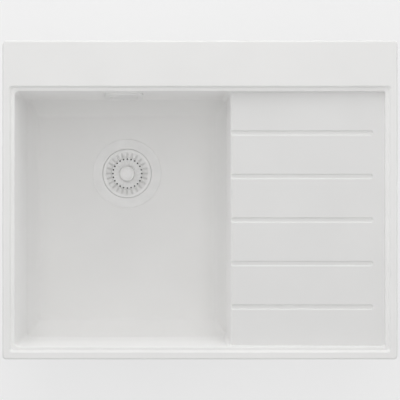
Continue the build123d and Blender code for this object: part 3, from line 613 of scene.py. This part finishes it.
@dataclass(frozen=True)
class ScrewThread:
    """A rolled thread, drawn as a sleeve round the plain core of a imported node."""

    core_r: float
    crest_r: float
    pitch: float
    foot: float
    top: float
    steps: int
    sunk: float = 0.0003
    spare_turns: int = 2

    def make(self) -> bmesh.types.BMesh:
        """Spin a zigzag up one pitch, cut both ends square and close the sleeve.

        Returns:
            The sleeve, round the Z axis.
        """
        start = self.foot - self.pitch
        turns = math.ceil((self.top - self.foot) / self.pitch) + self.spare_turns
        flat = self.pitch / 8.0
        tooth = (
            (self.core_r, flat),
            (self.crest_r, self.pitch / 2.0 - flat / 2.0),
            (self.crest_r, self.pitch / 2.0 + flat / 2.0),
            (self.core_r, self.pitch - flat),
        )
        zigzag = [
            (radius, start + turn * self.pitch + height)
            for turn in range(turns)
            for radius, height in tooth
        ]
        shape = spun(zigzag, self.steps, climb=self.pitch)
        for height, outward in ((self.foot, -1.0), (self.top, 1.0)):
            bmesh.ops.bisect_plane(
                shape,
                geom=shape.verts[:] + shape.edges[:] + shape.faces[:],
                plane_co=(0.0, 0.0, height),
                plane_no=(0.0, 0.0, outward),
                clear_outer=True,
            )
        return self.lined(shape)

    def lined(self, shape: bmesh.types.BMesh) -> bmesh.types.BMesh:
        """Turn both rims in to a bore just under the core and join them.

        Args:
            shape: the open thread.

        Returns:
            The closed sleeve.
        """
        rims = [edge for edge in shape.edges if edge.is_boundary]
        turned_in = bmesh.ops.extrude_edge_only(shape, edges=rims)["geom"]
        bore_r = self.core_r - self.sunk
        for vert in (part for part in turned_in if isinstance(part, bmesh.types.BMVert)):
            vert.co.xy = vert.co.xy.normalized() * bore_r
        inner = [part for part in turned_in if isinstance(part, bmesh.types.BMEdge)]
        bmesh.ops.bridge_loops(shape, edges=[edge for edge in inner if edge.is_boundary])
        return shape


def runs_round(edge: bmesh.types.BMEdge) -> bool:
    """Whether an edge lies level, as the hoops of a spun shape do."""
    first, second = (vert.co for vert in edge.verts)
    return max(abs(first.z - second.z), abs(first.xy.length - second.xy.length)) < MERGE


def is_upright(edge: bmesh.types.BMEdge) -> bool:
    """Whether an edge runs straight up."""
    return (edge.verts[0].co.xy - edge.verts[1].co.xy).length < MERGE


def soften(
    shape: bmesh.types.BMesh, edges: Sequence[bmesh.types.BMEdge], radius: float, segments: int
) -> None:
    """Round edges.

    Args:
        shape: the shape that is changed.
        edges: its edges to round.
        radius: width of the rounding.
        segments: facets across it.
    """
    bmesh.ops.bevel(
        shape,
        geom=edges,
        offset=radius,
        segments=segments,
        profile=0.5,
        affect="EDGES",
        material=-1,
    )


def copied(shape: bmesh.types.BMesh, places: Sequence[Vector]) -> bmesh.types.BMesh:
    """Repeat a shape at several places.

    Args:
        shape: the shape at the origin, which is freed.
        places: where the copies go.

    Returns:
        All the copies as one mesh.
    """
    one = as_mesh("one", shape)
    together = bmesh.new()
    for place in places:
        before = len(together.verts)
        together.from_mesh(one)
        together.verts.ensure_lookup_table()
        bmesh.ops.translate(together, verts=together.verts[before:], vec=place)
    bpy.data.meshes.remove(one)
    return together


def cut(shape: bmesh.types.BMesh, tools: Sequence[bmesh.types.BMesh]) -> bmesh.types.BMesh:
    """Cut tools out of a solid shape, one after the other.

    Args:
        shape: the solid, which is freed.
        tools: the solids to take away, which are freed.

    Returns:
        What is left.
    """
    for solid in (shape, *tools):
        bmesh.ops.recalc_face_normals(solid, faces=solid.faces)
    blank = in_scene("blank", as_mesh("blank", shape))
    cutters = [in_scene("cutter", as_mesh("cutter", tool)) for tool in tools]
    for cutter in cutters:
        difference = blank.modifiers.new("difference", "BOOLEAN")
        difference.operation = "DIFFERENCE"
        difference.solver = "EXACT"
        difference.object = cutter
    bpy.context.view_layer.update()
    left = bmesh.new()
    left.from_object(blank, bpy.context.evaluated_depsgraph_get())
    for used in (blank, *cutters):
        mesh = used.data
        bpy.data.objects.remove(used)
        bpy.data.meshes.remove(mesh)
    return left


def ranked(shape: bmesh.types.BMesh, count: int) -> bmesh.types.BMesh:
    """Repeat a shape round the Z axis.

    Args:
        shape: the shape to repeat, in place.
        count: how many there are in all.

    Returns:
        The same shape with its copies.
    """
    bmesh.ops.spin(
        shape,
        geom=shape.verts[:] + shape.edges[:] + shape.faces[:],
        cent=(0.0, 0.0, 0.0),
        axis=(0.0, 0.0, 1.0),
        angle=math.tau * (count - 1) / count,
        steps=count - 1,
        use_duplicate=True,
    )
    return shape


# ---- fittings -----------------------------------------------------------------------------


@dataclass
class Strainer:
    """Basket with ribs between flutes, a ring of holes and a guide for the plug's stem."""

    top: float = -0.1936
    rim_r: float = 0.0401
    mouth_r: float = 0.0363
    seat: float = -0.1962
    under_r: float = 0.0376
    rib_r: float = 0.0262
    rib_top: float = -0.1976
    well_r: float = 0.0257
    well: float = -0.2041
    sheet: float = 0.0022
    foot_r: float = 0.0285
    guide_r: float = 0.008
    guide_foot: float = -0.2163
    stem_r: float = 0.00405
    steps: int = 96
    flutes: int = 24
    flute_width: float = 0.0031
    flute_reach: float = 0.008
    flute_ends: Profile = ((0.0247, -0.2041), (0.0357, -0.1953))
    flute_round: float = 0.49
    flute_facets: int = 5
    hole_r: float = 0.00135
    hole_place: float = 0.024
    hole_reach: float = 0.0088
    hole_facets: int = 18
    edge: float = 0.0004
    edge_facets: int = 2

    def blank(self) -> bmesh.types.BMesh:
        """Spin the basket without its flutes and round its edges.

        Returns:
            The basket round the Z axis.
        """
        profile = (
            (self.stem_r, self.well),
            (self.well_r, self.well),
            (self.rib_r, self.rib_top),
            (self.mouth_r, self.top),
            (self.rim_r, self.top),
            (self.rim_r, self.seat),
            (self.under_r, self.seat),
            (self.foot_r, self.well - self.sheet),
            (self.guide_r, self.well - self.sheet),
            (self.guide_r, self.guide_foot),
            (self.stem_r, self.guide_foot),
        )
        shape = spun(profile, self.steps, closed=True)
        bmesh.ops.recalc_face_normals(shape, faces=shape.faces)
        hoops = [edge for edge in shape.edges if runs_round(edge)]
        soften(shape, hoops, self.edge, self.edge_facets)
        return shape

    def flute_tool(self) -> bmesh.types.BMesh:
        """Stand a round-ended bar on a flute's sloping floor and repeat it.

        Returns:
            The bars that cut all the flutes.
        """
        (near, low), (far, high) = self.flute_ends
        slope = math.atan2(high - low, far - near)
        tool = bmesh.new()
        bmesh.ops.create_cube(tool, size=1.0)
        size = (math.hypot(far - near, high - low), self.flute_width, self.flute_reach)
        bmesh.ops.scale(tool, verts=tool.verts, vec=size)
        corners = [edge for edge in tool.edges if is_upright(edge)]
        soften(tool, corners, self.flute_width * self.flute_round, self.flute_facets)
        bmesh.ops.translate(tool, verts=tool.verts, vec=(0.0, 0.0, self.flute_reach / 2.0))
        bmesh.ops.rotate(tool, verts=tool.verts, matrix=Matrix.Rotation(-slope, 3, "Y"))
        middle = ((near + far) / 2.0, 0.0, (low + high) / 2.0)
        bmesh.ops.translate(tool, verts=tool.verts, vec=middle)
        return ranked(tool, self.flutes)

    def hole_tool(self) -> bmesh.types.BMesh:
        """Put a pin through the well's floor at the foot of every flute.

        Returns:
            The pins that cut all the holes.
        """
        tool = bmesh.new()
        bmesh.ops.create_cone(
            tool,
            cap_ends=True,
            segments=self.hole_facets,
            radius1=self.hole_r,
            radius2=self.hole_r,
            depth=self.hole_reach,
        )
        place = (self.hole_place, 0.0, self.well - self.sheet / 2.0)
        bmesh.ops.translate(tool, verts=tool.verts, vec=place)
        return ranked(tool, self.flutes)

    def make(self, wardrobe: Wardrobe) -> None:
        """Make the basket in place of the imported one.

        Args:
            wardrobe: gives the finish.
        """
        basket = cut(self.blank(), (self.flute_tool(), self.hole_tool()))
        bmesh.ops.translate(basket, verts=basket.verts, vec=(DRAIN_X, DRAIN_Y, 0.0))
        wardrobe.hand_over(
            "fluted_basket", basket, Slot.STRAINER_WHITE, ["strainer_basket"], body="basket"
        )


@dataclass
class Clips:
    """Threads on the screws that pull the clips' claws up under the worktop."""

    thread: ScrewThread = ScrewThread(
        core_r=0.00248, crest_r=0.00272, pitch=0.0008, foot=-0.0440, top=-0.0287, steps=16
    )

    def make(self, wardrobe: Wardrobe, joints: Sequence[Mapping[str, object]]) -> None:
        """Put a thread round the screw of every claw.

        Args:
            wardrobe: gives the finish.
            joints: the frame's joints; a claw turns on its screw's axis.
        """
        axes = [joint["pos_m"] for joint in joints if joint["type"] == "hinge"]
        places = [Vector((x, y, 0.0)) for x, y, _ in axes]
        wardrobe.hand_over("clip_threads", copied(self.thread.make(), places), Slot.SCREW_STEEL)


@dataclass
class SlipNut:
    """Ribbed nut that squeezes a washer onto the overflow pipe."""

    bore_r: float = 0.01015
    socket_r: float = 0.01315
    wall_r: float = 0.0161
    rib: float = 0.0012
    rib_inset: float = 0.0003
    foot: float = -0.006
    shelf: float = -0.003
    top: float = 0.010
    edge: float = 0.0007
    edge_facets: int = 3
    steps: int = 48

    def make(self) -> bmesh.types.BMesh:
        """Spin the nut, round its rims and raise every other facet as a rib.

        Returns:
            The nut round the Z axis; the spigot ends at its z = 0.
        """
        profile = (
            (self.bore_r, self.foot),
            (self.wall_r, self.foot),
            (self.wall_r, self.top),
            (self.socket_r, self.top),
            (self.socket_r, self.shelf),
            (self.bore_r, self.shelf),
        )
        shape = spun(profile, self.steps, closed=True)
        bmesh.ops.recalc_face_normals(shape, faces=shape.faces)
        rims = [edge for edge in shape.edges if self.is_rim(edge)]
        soften(shape, rims, self.edge, self.edge_facets)
        wall = [face for face in shape.faces if self.is_wall(face)]
        wall.sort(key=lambda face: math.atan2(*face.calc_center_median().xy))
        bmesh.ops.inset_individual(
            shape, faces=wall[::2], thickness=self.rib_inset, depth=self.rib
        )
        return shape

    def is_rim(self, edge: bmesh.types.BMEdge) -> bool:
        """Whether an edge runs round the outside at the foot or the top."""
        return runs_round(edge) and edge.verts[0].co.xy.length > self.wall_r - MERGE

    def is_wall(self, face: bmesh.types.BMFace) -> bool:
        """Whether a face is an upright facet of the outside."""
        outside = face.calc_center_median().xy.length > (self.socket_r + self.wall_r) / 2.0
        return outside and abs(face.normal.z) < UPRIGHT


@dataclass
class Overflow:
    """Slip nuts at both ends of the overflow pipe, and the threads that they turn on."""

    nut: SlipNut = field(default_factory=SlipNut)
    thread: ScrewThread = ScrewThread(
        core_r=0.0129, crest_r=0.01345, pitch=0.0021, foot=0.0102, top=0.0178, steps=36
    )
    upper_end: Vector = field(default_factory=lambda: Vector((DRAIN_X, 0.198, -0.085)))
    lower_end: Vector = field(default_factory=lambda: Vector((DRAIN_X, 0.116, -0.229)))

    def make(self, wardrobe: Wardrobe) -> None:
        """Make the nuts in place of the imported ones, and the spigots' threads.

        Args:
            wardrobe: gives the finishes.
        """
        upright = Matrix.Translation(self.upper_end)
        lying = Matrix.Translation(self.lower_end) @ Matrix.Rotation(math.pi / 2.0, 4, "X")
        for name, joint in (("upper", upright), ("lower", lying)):
            nut = self.nut.make()
            bmesh.ops.transform(nut, matrix=joint, verts=nut.verts)
            node = f"overflow_nut_{name}"
            wardrobe.hand_over(f"ribbed_nut_{name}", nut, Slot.NUT_GREY, [node])
            thread = self.thread.make()
            bmesh.ops.transform(thread, matrix=joint, verts=thread.verts)
            wardrobe.hand_over(f"spigot_thread_{name}", thread, Slot.MOULDED_WHITE)


@dataclass
class Waste:
    """Thread on the waste's outlet, where the trap is screwed on, and the flange's bedding."""

    thread: ScrewThread = ScrewThread(
        core_r=0.0238, crest_r=0.0243, pitch=0.0023, foot=-0.2845, top=-0.2605, steps=48
    )
    flange_r: float = 0.057
    seat_r: float = 0.0574
    bead_top: float = -0.19312
    bead_foot: float = -0.1955
    bead_steps: int = 128
    overlap: float = 0.0001

    def make(self, wardrobe: Wardrobe) -> None:
        """Put the thread round the outlet and fill the slit round the flange.

        Args:
            wardrobe: gives the finishes.
        """
        inner, outer = self.flange_r - self.overlap, self.seat_r + self.overlap
        section = (
            (inner, self.bead_top),
            (outer, self.bead_top),
            (outer, self.bead_foot),
            (inner, self.bead_foot),
        )
        bead = spun(section, self.bead_steps, closed=True)
        bmesh.ops.translate(bead, verts=bead.verts, vec=(DRAIN_X, DRAIN_Y, 0.0))
        wardrobe.hand_over("flange_bead", bead, Slot.FLANGE_WHITE)
        thread = self.thread.make()
        bmesh.ops.translate(thread, verts=thread.verts, vec=(DRAIN_X, DRAIN_Y, 0.0))
        wardrobe.hand_over("outlet_thread", thread, Slot.MOULDED_WHITE)


# ---- the studio ---------------------------------------------------------------------------


@dataclass(frozen=True)
class SoftBox:
    """A square soft lamp: degrees round from the back and up from the rim, and watts."""

    name: str
    turn: float
    rise: float
    power: float


LAMPS = (
    SoftBox("window", turn=0.0, rise=15.0, power=17.5),
    SoftBox("window_top", turn=0.0, rise=33.0, power=12.6),
    SoftBox("overhead_back", turn=0.0, rise=66.0, power=7.1),
    SoftBox("overhead", turn=0.0, rise=90.0, power=9.0),
    SoftBox("left_fill", turn=-90.0, rise=45.0, power=3.6),
    SoftBox("right_fill", turn=90.0, rise=35.0, power=2.8),
    SoftBox("front_fill", turn=180.0, rise=40.0, power=3.9),
)


@dataclass
class Studio:
    """Pale floor, soft sky, lamps and the camera above the sink."""

    floor_gap: float = 0.004
    floor_size: float = 9.0
    floor_tone: float = 0.80
    mottle: float = 0.4
    mottle_contrast: Span = (0.2, 0.8)
    mottle_spread: float = 0.01
    floor_glow: float = 0.62
    fade_from: float = 1.2
    fade_to: float = 4.5
    sky: float = 0.388
    lamp_distance: float = 2.6
    lamp_size: float = 1.6
    camera_height: float = 3.436
    camera_reach: float = 100.0
    picture_width: float = 0.627
    sensor: float = 36.0

    def floor(self) -> bpy.types.Object:
        """Lay the floor, a pale sheet that keeps the sink's shadow.

        Returns:
            The floor.
        """
        sheet = bmesh.new()
        bmesh.ops.create_grid(sheet, x_segments=1, y_segments=1, size=self.floor_size)
        bmesh.ops.translate(sheet, verts=sheet.verts, vec=(0.0, 0.0, SINK_FOOT - self.floor_gap))
        floor = in_scene("floor", as_mesh("floor", sheet))
        floor.data.materials.append(self.floor_paint())
        return floor

    def floor_paint(self) -> bpy.types.Material:
        """Matte paint that looks nearly white to the camera, and white far away.

        Returns:
            The floor's material.
        """
        shader = Shader(bpy.data.materials.new("floor_paint"))
        tone = (self.floor_tone,) * 3
        colour = shader.blend(
            shader.noise(self.mottle).ramped(*self.mottle_contrast),
            tinted(tone, 1.0 - self.mottle_spread),
            tinted(tone, 1.0 + self.mottle_spread),
        )
        matte = shader.node("ShaderNodeBsdfDiffuse", values={"Color": colour})
        glow = shader.node("ShaderNodeEmission", values={"Color": WHITE})
        away = shader.node(
            "ShaderNodeVectorMath", {"operation": "LENGTH"}, (shader.place(),), output="Value"
        )
        far = away.ramped(self.fade_from, self.fade_to)
        share = self.seen(shader) * (self.floor_glow + far * (1.0 - self.floor_glow))
        mixed = shader.node("ShaderNodeMixShader", values=(share, matte, glow))
        shader.node("ShaderNodeOutputMaterial", values={"Surface": mixed})
        return shader.owner

    @staticmethod
    def seen(shader: Shader) -> Signal:
        """Tell the rays that see the background from those that light the sink.

        Args:
            shader: the tree that asks.

        Returns:
            1 on rays from the camera and on those that gloss or glass sends on, else 0.
        """
        rays = [
            shader.node("ShaderNodeLightPath", output=name)
            for name in ("Is Camera Ray", "Is Glossy Ray", "Is Transmission Ray")
        ]
        return (rays[0] + rays[1] + rays[2]).at_most(1.0)

    def sky_light(self) -> None:
        """Fill the world with an even light that looks white itself."""
        world = bpy.data.worlds.new("sky")
        bpy.context.scene.world = world
        shader = Shader(world)
        strength = self.sky + self.seen(shader) * (1.0 - self.sky)
        settings = {"Color": WHITE, "Strength": strength}
        light = shader.node("ShaderNodeBackground", values=settings)
        shader.node("ShaderNodeOutputWorld", values={"Surface": light})

    def hang(self, lamp: SoftBox) -> bpy.types.Object:
        """Hang a square soft lamp that faces the sink.

        Args:
            lamp: which lamp.

        Returns:
            The lamp.
        """
        turn, rise = math.radians(lamp.turn), math.radians(lamp.rise)
        flat = math.cos(rise)
        toward = Vector((math.sin(turn) * flat, math.cos(turn) * flat, math.sin(rise)))
        data = bpy.data.lights.new(lamp.name, "AREA")
        data.energy = lamp.power
        data.shape = "SQUARE"
        data.size = self.lamp_size
        made = in_scene(lamp.name, data)
        made.location = toward * self.lamp_distance
        made.rotation_mode = "QUATERNION"
        made.rotation_quaternion = toward.to_track_quat("Z", "Y")
        return made

    def camera(self) -> bpy.types.Object:
        """Hang the camera over the middle of the sink, looking straight down.

        Returns:
            The camera.
        """
        data = bpy.data.cameras.new("camera")
        data.sensor_width = self.sensor
        data.lens = self.sensor * self.camera_height / self.picture_width
        data.clip_end = self.camera_reach
        camera = in_scene("camera", data)
        camera.location = (0.0, 0.0, RIM_TOP + self.camera_height)
        bpy.context.scene.camera = camera
        return camera

    def build(self) -> None:
        """Set up the floor, the light and the camera."""
        bpy.context.scene.view_settings.view_transform = "Standard"
        self.floor()
        self.sky_light()
        for lamp in LAMPS:
            self.hang(lamp)
        self.camera()


def main() -> None:
    """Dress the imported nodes, then set up the studio."""
    logging.basicConfig(level=logging.INFO, format="%(message)s")
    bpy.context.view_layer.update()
    wardrobe = Wardrobe(FINISHES)
    wardrobe.dress(frame["nodes"], frame["record"])
    Strainer().make(wardrobe)
    Clips().make(wardrobe, frame["joints"])
    Overflow().make(wardrobe)
    Waste().make(wardrobe)
    Studio().build()


if __name__ == "__main__":
    main()
